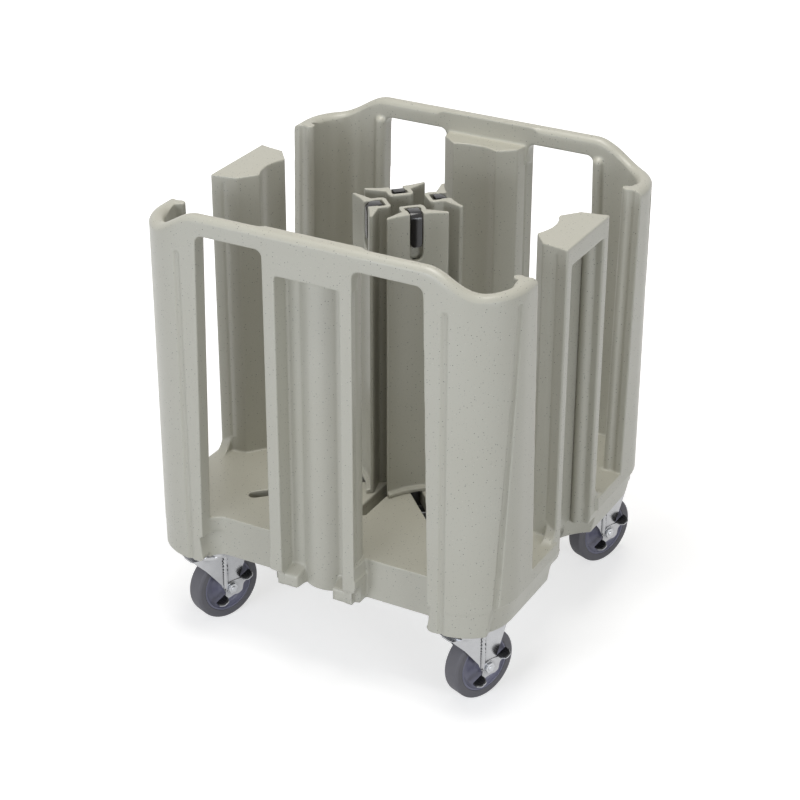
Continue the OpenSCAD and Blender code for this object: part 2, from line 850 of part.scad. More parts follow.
// Solid tyre on the hub's rim
module tyre(i) color([0.38, 0.38, 0.4]) on_axle(i)
    rotate_extrude() difference() {
        translate([rim_r, -wheel_w / 2]) square([wheel_r - rim_r, wheel_w]);
        for (s = [-1, 1]) mirror([0, s < 0 ? 1 : 0])
            translate([wheel_r, wheel_w / 2]) mirror([1, 0]) mirror([0, 1]) fillet2d(tread_round);
    }

// The children placed at a pedal of the axle's frame (s = 1 behind the axle, -1 before it),
// with +X along the pedal and +Y up out of its tread
module at_pedal(s) {
    translate(s > 0 ? [pad_back, pad_back_up, 0] : [-pad_front, -pad_front_down, 0])
        rotate([0, 0, pad_tilt]) children();
}

// Plan of a pedal, straight where it meets the lever and round at its free edge
module pedal_plan(inset) {
    r = pedal_w / 2;
    translate([-pedal_l / 2 + inset, 0]) square([pedal_l - 2 * inset, r]);
    for (s = [-1, 1]) translate([s * (pedal_l / 2 - r), r]) circle(r - inset);
    translate([-pedal_l / 2 + r, 0]) square([pedal_l - 2 * r, pedal_w - inset]);
}

// A pedal plan laid flat in the lever's frame, from height y0 with thickness t
module pedal_sheet(s, inset, y0, t) {
    at_pedal(s) translate([0, y0 + t, lever_y + lever_t]) rotate([90, 0, 0])
        linear_extrude(t) pedal_plan(inset);
}

// Rocker brake lever on the axle, with a bent tab under each pedal
module brake(i) color("silver") on_axle(i) {
    difference() {
        translate([0, 0, lever_y]) linear_extrude(lever_t) {
            circle(lever_r);
            for (s = [-1, 1]) hull() {
                circle(lever_neck);
                at_pedal(s) translate([-pedal_l / 2, 0]) square([pedal_l, lever_t]);
            }
        }
        translate([0, 0, lever_y - over]) cylinder(h = lever_t + 2 * over, r = axle_d / 2 + run_fit);
    }
    for (s = [-1, 1]) translate([0, 0, -lever_t / 2]) pedal_sheet(s, 0, 0, lever_t);
}

// Two pedal pads on the tabs of the brake lever
module pedals(i) color([0.12, 0.12, 0.13]) on_axle(i)
    for (s = [-1, 1]) pedal_sheet(s, pad_in, lever_t, pad_t);

base_deck();
on_panel(-1) panel_pillar();  // front_pillar
on_panel(1) panel_pillar();  // rear_pillar
on_side(-1) side_pillar();  // left_pillar
on_side(1) side_pillar();  // right_pillar
color(body_colour) quarter(CORNERS[0]) corner_wall();  // front_left_corner
color(body_colour) quarter(CORNERS[1]) corner_wall();  // front_right_corner
color(body_colour) quarter(CORNERS[2]) corner_wall();  // rear_left_corner
color(body_colour) quarter(CORNERS[3]) corner_wall();  // rear_right_corner
track_strips();
kingpins();
caster_bolts();
tower(0);  // front_left_tower
tower(1);  // front_right_tower
tower(2);  // rear_left_tower
tower(3);  // rear_right_tower
slide(0);  // front_left_slide
slide(1);  // front_right_slide
slide(2);  // rear_left_slide
slide(3);  // rear_right_slide
handle(0);  // front_left_handle
handle(1);  // front_right_handle
handle(2);  // rear_left_handle
handle(3);  // rear_right_handle
rod(0);  // front_left_rod
rod(1);  // front_right_rod
rod(2);  // rear_left_rod
rod(3);  // rear_right_rod
spring(0);  // front_left_spring
spring(1);  // front_right_spring
spring(2);  // rear_left_spring
spring(3);  // rear_right_spring
plate(0);  // front_left_plate
plate(1);  // front_right_plate
plate(2);  // rear_left_plate
plate(3);  // rear_right_plate
fork(0);  // front_left_fork
fork(1);  // front_right_fork
fork(2);  // rear_left_fork
fork(3);  // rear_right_fork
axle(0);  // front_left_axle
axle(1);  // front_right_axle
axle(2);  // rear_left_axle
axle(3);  // rear_right_axle
hub(0);  // front_left_hub
hub(1);  // front_right_hub
hub(2);  // rear_left_hub
hub(3);  // rear_right_hub
tyre(0);  // front_left_tyre
tyre(1);  // front_right_tyre
tyre(2);  // rear_left_tyre
tyre(3);  // rear_right_tyre
brake(0);  // front_left_brake
brake(1);  // front_right_brake
brake(2);  // rear_left_brake
brake(3);  // rear_right_brake
pedals(0);  // front_left_pedals
pedals(1);  // front_right_pedals
pedals(2);  // rear_left_pedals
pedals(3);  // rear_right_pedals
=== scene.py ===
"""Looks of the plate dispenser cart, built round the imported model. Metres, Z up."""

import math

import bmesh
import bpy
import numpy as np
from mathutils import Matrix, Vector


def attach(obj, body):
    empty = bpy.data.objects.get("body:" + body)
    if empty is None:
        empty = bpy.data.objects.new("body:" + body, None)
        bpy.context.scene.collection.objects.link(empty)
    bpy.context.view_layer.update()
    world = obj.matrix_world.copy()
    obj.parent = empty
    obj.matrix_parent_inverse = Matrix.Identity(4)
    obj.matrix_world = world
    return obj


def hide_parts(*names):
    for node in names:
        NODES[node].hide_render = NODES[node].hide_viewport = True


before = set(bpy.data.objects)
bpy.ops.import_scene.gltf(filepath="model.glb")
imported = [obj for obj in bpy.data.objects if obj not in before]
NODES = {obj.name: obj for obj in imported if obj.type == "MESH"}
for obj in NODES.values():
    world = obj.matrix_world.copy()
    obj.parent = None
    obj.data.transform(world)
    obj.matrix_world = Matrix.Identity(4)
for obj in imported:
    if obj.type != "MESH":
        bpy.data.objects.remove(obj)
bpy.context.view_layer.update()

CORNERS = {
    "front_left": (-1, -1),
    "front_right": (1, -1),
    "rear_left": (-1, 1),
    "rear_right": (1, 1),
}
BODY_NODES = [
    "base_deck", "front_pillar", "rear_pillar", "left_pillar", "right_pillar",
    "front_left_corner", "front_right_corner", "rear_left_corner", "rear_right_corner",
]
# How far each tower stands out along its slot
PULL = {"front_left": 0.008, "front_right": 0.003, "rear_left": 0.0, "rear_right": 0.014}

# Sizes that the pieces share with the frame
BASE_Z = 0.164
WHEEL_R = 0.0635
TRAIL = 0.0254
TRAIL_ANGLE = math.radians(68.2)
CASTER_X = 0.252
CASTER_Y = 0.246

# Places along a tower's slot, and its height
ROD_X = 0.0435
FRONT_X = 0.060
TOWER_TOP = 0.7568
RECESS_FLOOR_X = 0.0488


# Mesh helpers


def new_object(name, mesh):
    obj = bpy.data.objects.new(name, mesh)
    bpy.context.scene.collection.objects.link(obj)
    return obj


def smooth_shade(obj, angle=None):
    mesh = obj.data
    mesh.polygons.foreach_set("use_smooth", [True] * len(mesh.polygons))
    if angle is not None:
        mesh.set_sharp_from_angle(angle=math.radians(angle))
    mesh.update()


def apply_modifiers(obj):
    depsgraph = bpy.context.evaluated_depsgraph_get()
    mesh = bpy.data.meshes.new_from_object(obj.evaluated_get(depsgraph))
    obj.modifiers.clear()
    old = obj.data
    obj.data = mesh
    bpy.data.meshes.remove(old)


def joined_copy(name, nodes):
    """One new object that holds copies of the meshes of these nodes."""
    bm = bmesh.new()
    for node in nodes:
        bm.from_mesh(NODES[node].data)
    mesh = bpy.data.meshes.new(name)
    bm.to_mesh(mesh)
    bm.free()
    return new_object(name, mesh)


def keep_largest_island(obj):
    """Deletes every loose island of the mesh but the largest."""
    bm = bmesh.new()
    bm.from_mesh(obj.data)
    bm.verts.ensure_lookup_table()
    seen = np.zeros(len(bm.verts), bool)
    islands = []
    for start in bm.verts:
        if seen[start.index]:
            continue
        seen[start.index] = True
        island = [start]
        for vert in island:
            for edge in vert.link_edges:
                other = edge.other_vert(vert)
                if not seen[other.index]:
                    seen[other.index] = True
                    island.append(other)
        islands.append(island)
    islands.sort(key=len)
    for island in islands[:-1]:
        bmesh.ops.delete(bm, geom=island, context="VERTS")
    bm.to_mesh(obj.data)
    bm.free()


def soften(obj, voxel, rounds, keep, shape):
    """Turns sharp solids into one moulded skin with soft edges, then shapes its details."""
    remesh = obj.modifiers.new("remesh", "REMESH")
    remesh.mode = "VOXEL"
    remesh.voxel_size = voxel
    smooth = obj.modifiers.new("smooth", "SMOOTH")
    smooth.factor = 0.5
    smooth.iterations = rounds
    apply_modifiers(obj)
    set_coords(obj, shape(coords(obj)))
    if keep < 1.0:
        thin = obj.modifiers.new("thin", "DECIMATE")
        thin.ratio = keep
        apply_modifiers(obj)
    keep_largest_island(obj)
    smooth_shade(obj)


def coords(obj):
    """The points of the object's mesh, one row each."""
    co = np.zeros(len(obj.data.vertices) * 3)
    obj.data.vertices.foreach_get("co", co)
    return co.reshape(-1, 3)


def set_coords(obj, co):
    obj.data.vertices.foreach_set("co", co.ravel())
    obj.data.update()


def dress(obj, material, body, replaced):
    """Gives a piece its material and body, and hides the nodes that it stands in for."""
    obj.data.materials.clear()
    obj.data.materials.append(material)
    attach(obj, body)
    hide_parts(*replaced)


# Materials


class Nodes:
    """Short names for building a node tree."""

    def __init__(self, name):
        self.material = bpy.data.materials.new(name)
        self.material.use_nodes = True
        self.tree = self.material.node_tree
        self.bsdf = self.tree.nodes["Principled BSDF"]
        self.place = self.tree.nodes.new("ShaderNodeTexCoord").outputs["Object"]

    def add(self, kind, **settings):
        node = self.tree.nodes.new(kind)
        for key, value in settings.items():
            setattr(node, key, value)
        return node

    def link(self, a, b):
        self.tree.links.new(a, b)

    def noise(self, scale, detail=2.0, rough=0.5):
        node = self.add("ShaderNodeTexNoise")
        node.inputs["Scale"].default_value = scale
        node.inputs["Detail"].default_value = detail
        node.inputs["Roughness"].default_value = rough
        self.link(self.place, node.inputs["Vector"])
        return node.outputs["Fac"]

    def math(self, operation, a, b):
        node = self.add("ShaderNodeMath", operation=operation)
        for socket, value in zip(node.inputs, (a, b)):
            if isinstance(value, (int, float)):
                socket.default_value = value
            else:
                self.link(value, socket)
        return node.outputs["Value"]

    def mix(self, fac, a, b):
        node = self.add("ShaderNodeMix", data_type="RGBA")
        sockets = (node.inputs["Factor"], node.inputs[6], node.inputs[7])
        for socket, value in zip(sockets, (fac, a, b)):
            if isinstance(value, (int, float)):
                socket.default_value = value
            elif isinstance(value, tuple):
                socket.default_value = (*value, 1.0)
            else:
                self.link(value, socket)
        return node.outputs[2]

    def span(self, fac, low, high):
        node = self.add("ShaderNodeMapRange")
        node.inputs["To Min"].default_value = low
        node.inputs["To Max"].default_value = high
        self.link(fac, node.inputs["Value"])
        return node.outputs["Result"]

    def bump(self, height, strength, distance):
        node = self.add("ShaderNodeBump")
        node.inputs["Strength"].default_value = strength
        node.inputs["Distance"].default_value = distance
        self.link(height, node.inputs["Height"])
        self.link(node.outputs["Normal"], self.bsdf.inputs["Normal"])

    def specks(self, cell, radius, share):
        """1 inside round specks of this radius, in this share of cells of this size."""
        node = self.add("ShaderNodeTexVoronoi")
        node.inputs["Scale"].default_value = 1.0 / cell
        self.link(self.place, node.inputs["Vector"])
        inside = self.math("LESS_THAN", node.outputs["Distance"], radius / cell)
        split = self.add("ShaderNodeSeparateColor")
        self.link(node.outputs["Color"], split.inputs["Color"])
        chosen = self.math("LESS_THAN", split.outputs["Red"], share)
        return self.math("MULTIPLY", inside, chosen)


def srgb(r, g, b):
    """Linear colour from 0-255 display values."""
    out = []
    for value in (r, g, b):
        value /= 255.0
        out.append(value / 12.92 if value <= 0.04045 else ((value + 0.055) / 1.055) ** 2.4)
    return tuple(out)


# Specks of the moulded plastic: cell size, radius, share of the cells, strength and colour
SPECKS = (
    (0.0030, 0.0005, 0.4, 0.7, srgb(142, 142, 138)),
    (0.0047, 0.0006, 0.25, 0.4, srgb(218, 216, 206)),
    (0.0054, 0.00074, 0.5, 0.9, srgb(92, 92, 90)),
)
WARM = (0.965, 0.955, 0.93)
# Painted shade on the metals: how far the crevice darkening reaches, and how dark it gets
CREVICE = 0.009
CREVICE_SHADE = 0.12


def moulded_plastic(name, colour, roughness):
    """Cloudy plastic with fine specks and a faint grain."""
    n = Nodes(name)
    warm = tuple(c * k for c, k in zip(colour, WARM))
    base = n.mix(n.span(n.noise(9.0, 3.0), 0.0, 1.0), colour, warm)
    for cell, radius, share, strength, tint in SPECKS:
        base = n.mix(n.math("MULTIPLY", n.specks(cell, radius, share), strength), base, tint)
    n.link(base, n.bsdf.inputs["Base Color"])
    gloss = n.span(n.noise(60.0, 4.0), roughness - 0.07, roughness + 0.07)
    n.link(gloss, n.bsdf.inputs["Roughness"])
    n.bump(n.noise(420.0, 3.0, 0.6), 0.16, 0.0006)
    return n.material


def plain_plastic(name, colour, roughness, bump=0.1, scale=500.0):
    """Plastic of one colour that is a little uneven."""
    n = Nodes(name)
    base = n.mix(n.noise(40.0, 4.0), colour, tuple(c * 0.86 for c in colour))
    n.link(base, n.bsdf.inputs["Base Color"])
    gloss = n.span(n.noise(90.0, 4.0), roughness - 0.06, roughness + 0.08)
    n.link(gloss, n.bsdf.inputs["Roughness"])
    n.bump(n.noise(scale, 3.0, 0.6), bump, 0.0005)
    return n.material


def metal(name, colour, roughness):
    """Metal that grows darker in its crevices: painted shade from an ambient-occlusion mask."""
    n = Nodes(name)
    n.bsdf.inputs["Metallic"].default_value = 1.0
    base = n.mix(n.noise(55.0, 4.0), colour, tuple(c * 0.82 for c in colour))
    # Painted shade: where the ambient-occlusion mask finds nearby surfaces, the base colour fades
    # toward CREVICE_SHADE of itself
    painted_shade_ao = n.add("ShaderNodeAmbientOcclusion", samples=8)
    painted_shade_ao.inputs["Distance"].default_value = CREVICE
    base = n.mix(painted_shade_ao.outputs["AO"], tuple(c * CREVICE_SHADE for c in colour), base)
    n.link(base, n.bsdf.inputs["Base Color"])
    gloss = n.span(n.noise(130.0, 5.0), roughness - 0.08, roughness + 0.08)
    n.link(gloss, n.bsdf.inputs["Roughness"])
    n.bump(n.noise(300.0, 4.0), 0.05, 0.0005)
    return n.material


BODY = moulded_plastic("body_speckle", srgb(183, 182, 171), 0.34)
TOWER = moulded_plastic("tower_speckle", srgb(178, 177, 166), 0.36)
BLACK = plain_plastic("handle_black", srgb(24, 22, 24), 0.15)
PEDAL = plain_plastic("pedal_black", srgb(26, 26, 28), 0.34)
ROD = metal("rod_dark", (0.09, 0.09, 0.095), 0.42)
SLIDE = plain_plastic("slide_dark", srgb(70, 70, 70), 0.5)
HUB = plain_plastic("hub_blue_grey", srgb(122, 122, 142), 0.32)
TYRE = plain_plastic("tyre_grey", srgb(104, 103, 108), 0.62, 0.2, 700.0)
ZINC = metal("zinc", (0.52, 0.525, 0.54), 0.2)
STEEL = metal("steel_bright", (0.62, 0.63, 0.65), 0.3)
STRIP = metal("strip_steel", (0.5, 0.5, 0.5), 0.42)
SPRING = metal("spring_wire", (0.5, 0.5, 0.52), 0.3)

CORNER_FINISH = {
    "slide": SLIDE,
    "rod": ROD,
    "spring": SPRING,
    "plate": ZINC,
    "fork": ZINC,
    "axle": ZINC,
    "hub": HUB,
    "tyre": TYRE,
    "brake": ZINC,
    "pedals": PEDAL,
    "handle": BLACK,
}
FINISH = {"track_strips": STRIP, "kingpins": STEEL, "caster_bolts": ZINC}
for corner in CORNERS:
    for role, material in CORNER_FINISH.items():
        FINISH[f"{corner}_{role}"] = material
for node, material in FINISH.items():
    NODES[node].data.materials.clear()
    NODES[node].data.materials.append(material)


# Shapes of the moulded skins: each is worked out for one quarter and holds for all four

BODY_HX = 0.335
BODY_HY = 0.322
CORNER_R = 0.096
WALL = 0.025
POCKET_TOP = 0.728


def ease(value, low, high):
    """0 below low, 1 above high, smooth between."""
    t = np.clip((value - low) / (high - low), 0.0, 1.0)
    return t * t * (3.0 - 2.0 * t)


def sides(co):
    """Distances from the middle along X and along Y."""
    return np.abs(co[:, 0]), np.abs(co[:, 1])


def set_axis(co, axis, where, size):
    """Gives one coordinate a new size where asked, and leaves its sign."""
    co[:, axis] = np.where(where, np.sign(co[:, axis]) * size, co[:, axis])


def depth_inside(ax, ay):
    """How far a point lies inside the body's outer outline."""
    qx = ax - (BODY_HX - CORNER_R)
    qy = ay - (BODY_HY - CORNER_R)
    round_part = np.hypot(np.maximum(qx, 0.0), np.maximum(qy, 0.0))
    return CORNER_R - np.where((qx > 0) & (qy > 0), round_part, np.maximum(qx, qy))


# The rim is flat up to RIM_FLAT from the middle and falls by RIM_DROP over RIM_FALL
CART_H = 0.803
RIM_DROP = 0.037
RIM_FLAT = 0.203
RIM_FALL = 0.094
RIM_ROUND = 0.0132
RIM_ROUND_MAX = 0.97 * RIM_ROUND
RIM_REACH = 0.006
RIM_MIN_Y = 0.17
PANEL_PILLAR_X = 0.082
LIP_TOP_Y = 0.216
INNER_FADE_X = 0.02
INNER_FADE_Y = 0.03


def round_rims(co):
    """Rounds the top edges of the panels and corners."""
    ax, ay = sides(co)
    inside = depth_inside(ax, ay)
    off = np.minimum(np.abs(inside - WALL / 2), RIM_ROUND_MAX)
    drop = RIM_ROUND - np.sqrt(RIM_ROUND ** 2 - off ** 2)
    within = ease(ax, PANEL_PILLAR_X, PANEL_PILLAR_X + INNER_FADE_X)
    within *= ease(ay, LIP_TOP_Y, LIP_TOP_Y + INNER_FADE_Y)
    drop *= np.where(inside > WALL / 2, within, 1.0)
    fall = np.clip((ax - RIM_FLAT) / RIM_FALL, 0.0, 1.0)
    rim = CART_H - RIM_DROP * (1.0 - np.cos(np.pi * fall)) / 2
    near = (inside < WALL + RIM_REACH) & (ay > RIM_MIN_Y)
    co[:, 2] = np.where(near, np.minimum(co[:, 2], rim - drop), co[:, 2])


# The base's sides lean in by TUCK at the underside and by TUCK_TOP at the step at TUCK_Z
TUCK = 0.014
TUCK_TOP = 0.004
TUCK_Z = 0.2145
STEP_HALF = 0.005
STEP_DEPTH = 0.0055
CORNER_FADE_Y = (0.277, 0.286)
CORNER_FADE_DEPTH = (0.02, 0.04)
ROUND_MIN_DY = 0.03
FLAT_MIN_DX = -0.02
FLAT_MIN_Y = 0.30
MIN_RADIUS = 0.01


def straighten_columns(co):
    """Carries the corners straight down to the underside, past the tuck of the base's sides."""
    ax, ay = sides(co)
    z = co[:, 2]
    tuck = TUCK - (TUCK - TUCK_TOP) * np.clip((z - BASE_Z) / (TUCK_Z - BASE_Z), 0.0, 1.0)
    depth = depth_inside(ax + tuck, ay)
    beside_step = (np.abs(z - TUCK_Z) < STEP_HALF) & (depth_inside(ax, ay) < STEP_DEPTH)
    depth = np.where(beside_step, 0.0, depth)
    share = ease(ay, *CORNER_FADE_Y) * (1.0 - ease(depth, *CORNER_FADE_DEPTH))
    share *= z < TUCK_Z + STEP_HALF
    dx = ax - (BODY_HX - CORNER_R)
    dy = ay - (BODY_HY - CORNER_R)
    radius = np.maximum(np.hypot(dx, dy), MIN_RADIUS)
    scale = 1.0 + share * ((CORNER_R - depth) / radius - 1.0)
    round_zone = (dx > 0) & (dy > ROUND_MIN_DY)
    flat_zone = (dx <= 0) & (dx > FLAT_MIN_DX) & (ay > FLAT_MIN_Y)
    set_axis(co, 0, round_zone, BODY_HX - CORNER_R + dx * scale)
    set_axis(co, 1, round_zone, BODY_HY - CORNER_R + dy * scale)
    set_axis(co, 1, flat_zone, ay + share * (BODY_HY - depth - ay))


# The front groove's middle stands GROOVE_OUT outside the face, the side groove runs between two
# points
GROOVE_X = 0.240
GROOVE_R = 0.0060
GROOVE_TOP = 0.732
GROOVE_OUT = 0.0018
GROOVE_ZONE = 0.008
SIDE_GROOVE = ((0.3176, 0.2839, 0.158), (0.3334, 0.2512, 0.740))


def carve_grooves(co):
    """Cuts the upright grooves down the outside of the corners."""
    ax, ay = sides(co)
    across = ax - GROOVE_X
    rise = np.maximum(co[:, 2] - GROOVE_TOP, 0.0)
    room = GROOVE_R ** 2 - across ** 2 - rise ** 2
    floor_y = BODY_HY + GROOVE_OUT - np.sqrt(np.maximum(room, 0.0))
    near = (room > 0) & (ay > BODY_HY - GROOVE_ZONE)
    set_axis(co, 1, near, np.minimum(ay, floor_y))
    start, end = (np.array(place) for place in SIDE_GROOVE)
    length = np.linalg.norm(end - start)
    along = (end - start) / length
    point = np.abs(co)
    reach = np.clip((point - start) @ along, 0.0, length)
    away = point - (start + reach[:, None] * along)
    far = np.maximum(np.linalg.norm(away, axis=1), 1e-6)
    pushed = point + away * (GROOVE_R / far - 1.0)[:, None]
    for axis in (0, 1):
        set_axis(co, axis, far < GROOVE_R, pushed[:, axis])


SIDE_FLOOR_X = 0.294
SIDE_FLOOR_HALF = 0.037
SIDE_FLOOR_ZONE = (0.289, 0.312)
SIDE_FLOOR_LOW = 0.197


def flatten_side_floors(co):
    """Makes the floors of the side pockets flat."""
    ax, ay = sides(co)
    near = (ay < SIDE_FLOOR_HALF) & (ax > SIDE_FLOOR_ZONE[0]) & (ax < SIDE_FLOOR_ZONE[1])
    near &= (co[:, 2] > SIDE_FLOOR_LOW) & (co[:, 2] < POCKET_TOP)
    set_axis(co, 0, near, SIDE_FLOOR_X)


SIDE_POCKET_Y = 0.061
COLUMN_X = 0.3045
COLUMN_R = 0.0095
COLUMN_BULGE = 0.009
COLUMN_ZONE = 0.0025
COLUMN_CLEAR = 0.002


def line_side_pockets(co):
    """Adds the half-round column that stands on each side wall of the side pockets."""
    ax, ay = sides(co)
    off = (ax - COLUMN_X) / COLUMN_R
    near = (np.abs(ay - SIDE_POCKET_Y) < COLUMN_ZONE) & (co[:, 2] < POCKET_TOP - COLUMN_CLEAR)
    near &= np.abs(off) < 1.0
    bulge = COLUMN_BULGE * np.sqrt(np.maximum(0.0, 1.0 - off ** 2))
    set_axis(co, 1, near, ay - bulge)


# Strips stand beside the front and rear pockets, and their lower ends taper into feet
FOOT_Y = 0.3130
FOOT_Z = (0.184, 0.196)
FOOT_X = (0.030, 0.0345)
POCKET_BACK_Y = 0.2845
STRIP_X = (0.0595, 0.086)
STRIP_MIN_Y = 0.302
STRIP_LOW_Z = 0.2
STRIP_EDGE_X = 0.0804
STRIP_TAPER = 0.0095
LEG_X = 0.2144
LEG_ROUND = 0.012
LEG_MIN_X = 0.205
LEG_MIN_Y = 0.300
LEG_MAX_Z = 0.19


def shape_strip_ends(co):
    """Rounds the lower ends of the strips over small feet, and the lower corners of the legs."""
    ax, ay = sides(co)
    z = co[:, 2]
    foot = 1.0 - ease(z, *FOOT_Z)
    outside = (ay > POCKET_BACK_Y) & (z < STRIP_LOW_Z)
    level = outside & (ax > FOOT_X[0]) & (ax < STRIP_X[0])
    share = foot * ease(ax, *FOOT_X)
    set_axis(co, 1, level, ay + (FOOT_Y - ay) * share)
    strip = outside & (ax >= STRIP_X[0]) & (ax < STRIP_X[1]) & (ay > STRIP_MIN_Y)
    set_axis(co, 1, strip, np.minimum(ay, BODY_HY - (BODY_HY - FOOT_Y) * foot))
    set_axis(co, 0, strip, np.minimum(ax, STRIP_EDGE_X - STRIP_TAPER * foot))
    leg = (ax > LEG_MIN_X) & (ax < LEG_X + LEG_ROUND) & (ay > LEG_MIN_Y) & (z < LEG_MAX_Z)
    past = np.clip(LEG_X + LEG_ROUND - ax, 0.0, 0.98 * LEG_ROUND)
    lift = LEG_ROUND - np.sqrt(LEG_ROUND ** 2 - past ** 2)
    co[:, 2] = np.where(leg, np.maximum(z, BASE_Z + lift), co[:, 2])


# Axis of the pillar's face, axis across it, place of the face and half width of the pillar
CREASED = ((0, 1, 0.330, 0.0798), (1, 0, BODY_HY, 0.0782))
CREASE_BEHIND = 0.022
CREASE_HALF = 0.003
CREASE_DEPTH = 0.0013
CREASE_ZONE = 0.004
CREASE_Z = (0.27, 0.75)


def crease_pillars(co):
    """A fine upright line down each flank of the pillars, where the mould halves met."""
    for facing_axis, across_axis, face, half in CREASED:
        behind = face - np.abs(co[:, facing_axis])
        side = np.abs(co[:, across_axis])
        off = behind - CREASE_BEHIND
        near = (np.abs(side - half) < CREASE_ZONE) & (np.abs(off) < CREASE_HALF)
        near &= (co[:, 2] > CREASE_Z[0]) & (co[:, 2] < CREASE_Z[1])
        cut = CREASE_DEPTH * np.sqrt(np.maximum(0.0, 1.0 - (off / CREASE_HALF) ** 2))
        set_axis(co, across_axis, near, side - cut)


def body_details(co):
    """Shapes the body's points, each feature in turn."""
    round_rims(co)
    straighten_columns(co)
    carve_grooves(co)
    flatten_side_floors(co)
    line_side_pockets(co)
    shape_strip_ends(co)
    crease_pillars(co)
    return co


# U runs outward along a tower's slot and V across it
FILL_DROP = 0.0615
FILL_HALF = 0.0142
FILL_MIN_U = 0.0285
FILL_LOW_Z = 0.6735
NARROW = 0.15
NARROW_Z = (0.655, 0.668)
NARROW_V = (0.0155, 0.024)
NARROW_U = (0.040, 0.046)


def tower_details(corner):
    """Shaper that narrows a tower's recess and closes its lower end in front of the rod."""
    sx, sy = CORNERS[corner]
    half_root = math.sqrt(0.5)

    def shape(co):
        u = (co[:, 0] * sx + co[:, 1] * sy) * half_root - PULL[corner]
        v = (co[:, 1] * sx - co[:, 0] * sy) * half_root
        fill = (np.abs(v) < FILL_HALF) & (u > FILL_MIN_U)
        fill &= (co[:, 2] > FILL_LOW_Z) & (co[:, 2] < TOWER_TOP - FILL_DROP)
        u = np.where(fill, np.maximum(u, RECESS_FLOOR_X), u)
        squeeze = NARROW * ease(co[:, 2], *NARROW_Z)
        squeeze = squeeze * (1.0 - ease(np.abs(v), *NARROW_V)) * ease(u, *NARROW_U)
        v = v * (1.0 - squeeze)
        u = u + PULL[corner]
        co[:, 0] = (u * sx - v * sy) * half_root
        co[:, 1] = (u * sy + v * sx) * half_root
        return co

    return shape


ROUNDS = 4
BODY_VOXEL, BODY_KEEP = ((0.0019, 0.35))
TOWER_VOXEL, TOWER_KEEP = ((0.0016, 0.4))

body = joined_copy("moulded_body", BODY_NODES)
soften(body, BODY_VOXEL, ROUNDS, BODY_KEEP, body_details)
dress(body, BODY, "root", BODY_NODES)

for corner in CORNERS:
    tower = joined_copy(corner + "_tower_skin", [corner + "_tower"])
    soften(tower, TOWER_VOXEL, ROUNDS, TOWER_KEEP, tower_details(corner))
    dress(tower, TOWER, corner + "_tower_unit", [corner + "_tower"])


# Outlines and lathed profiles


def rounded(points, segments=4):
    """Closed outline through (x, y, radius) corners, each rounded by its radius."""
    out = []
    count = len(points)
    for i, (x, y, radius) in enumerate(points):
        corner = Vector((x, y))
        if radius <= 0:
            out.append(corner)
            continue
        a = Vector(points[i - 1][:2]) - corner
        b = Vector(points[(i + 1) % count][:2]) - corner
        half = a.angle(b) / 2
        reach = min(radius / math.tan(half), 0.49 * a.length, 0.49 * b.length)
        arc_r = reach * math.tan(half)
        middle = corner + (a.normalized() + b.normalized()).normalized() * (arc_r / math.sin(half))
        first = corner + a.normalized() * reach - middle
        last = corner + b.normalized() * reach - middle
        start = math.atan2(first.y, first.x)
        sweep = math.atan2(last.y, last.x) - start
        sweep = (sweep + math.pi) % (2 * math.pi) - math.pi
        for k in range(segments + 1):
            angle = start + sweep * k / segments
            out.append(middle + arc_r * Vector((math.cos(angle), math.sin(angle))))
    return out


def tidy_normals(mesh):
    """Merges points that coincide and turns every face outward."""
    bm = bmesh.new()
    bm.from_mesh(mesh)
    bmesh.ops.remove_doubles(bm, verts=bm.verts, dist=1e-6)
    bmesh.ops.recalc_face_normals(bm, faces=bm.faces)
    bm.to_mesh(mesh)
    bm.free()


def lathe(profile, steps=96, closed=True):
    """Verts and faces of a profile of (radius, height) turned round Z."""
    verts = []
    faces = []
    count = len(profile)
    for i in range(steps):
        angle = 2 * math.pi * i / steps
        for r, w in profile:
            verts.append((r * math.cos(angle), r * math.sin(angle), w))
    for i in range(steps):
        j_end = count if closed else count - 1
        for j in range(j_end):
            k = (j + 1) % count
            this = i * count
            other = (i + 1) % steps * count
            faces.append((this + j, this + k, other + k, other + j))
    return verts, faces


def prism(outline, w0, w1):
    """Verts and faces of an outline in X and Y between two heights."""
    count = len(outline)
    verts = [(p[0], p[1], w0) for p in outline] + [(p[0], p[1], w1) for p in outline]
    faces = [tuple(range(count - 1, -1, -1)), tuple(range(count, 2 * count))]
    for j in range(count):
        k = (j + 1) % count
        faces.append((j, k, count + k, count + j))
    return verts, faces


def ball(centre, radius, rings=8, steps=12):
    verts = []
    faces = []
    for i in range(rings + 1):
        polar = math.pi * i / rings
        for j in range(steps):
            angle = 2 * math.pi * j / steps
            verts.append((
                centre[0] + radius * math.sin(polar) * math.cos(angle),
                centre[1] + radius * math.sin(polar) * math.sin(angle),
                centre[2] + radius * math.cos(polar),
            ))
    for i in range(rings):
        for j in range(steps):
            k = (j + 1) % steps
            faces.append((i * steps + j, i * steps + k, (i + 1) * steps + k, (i + 1) * steps + j))
    return verts, faces


def moved(part, matrix):
    verts, faces = part
    return [tuple(matrix @ Vector(v)) for v in verts], faces


def together(*parts):
    """Several parts as one."""
    verts = []
    faces = []
    for part_verts, part_faces in parts:
        start = len(verts)
        verts += list(part_verts)
        faces += [tuple(start + i for i in face) for face in part_faces]
    return verts, faces


# Casters, drawn on the axle: X along the trail, Y up, Z toward the braked side

MM = 0.001
WHEEL_HALF = 0.0155
FORK_OUT = 0.0215
CROWN_T = 0.003
CROWN_V = 0.0745
PLATE_UNDER = 0.158
QUARTER = math.radians(90)


def axle_frame(corner):
    sx, sy = CORNERS[corner]
    return (
        Matrix.Translation((sx * CASTER_X, sy * CASTER_Y, 0))
        @ Matrix.Rotation(TRAIL_ANGLE, 4, "Z")
        @ Matrix.Translation((TRAIL, 0, WHEEL_R))
        @ Matrix.Rotation(QUARTER, 4, "X")
    )


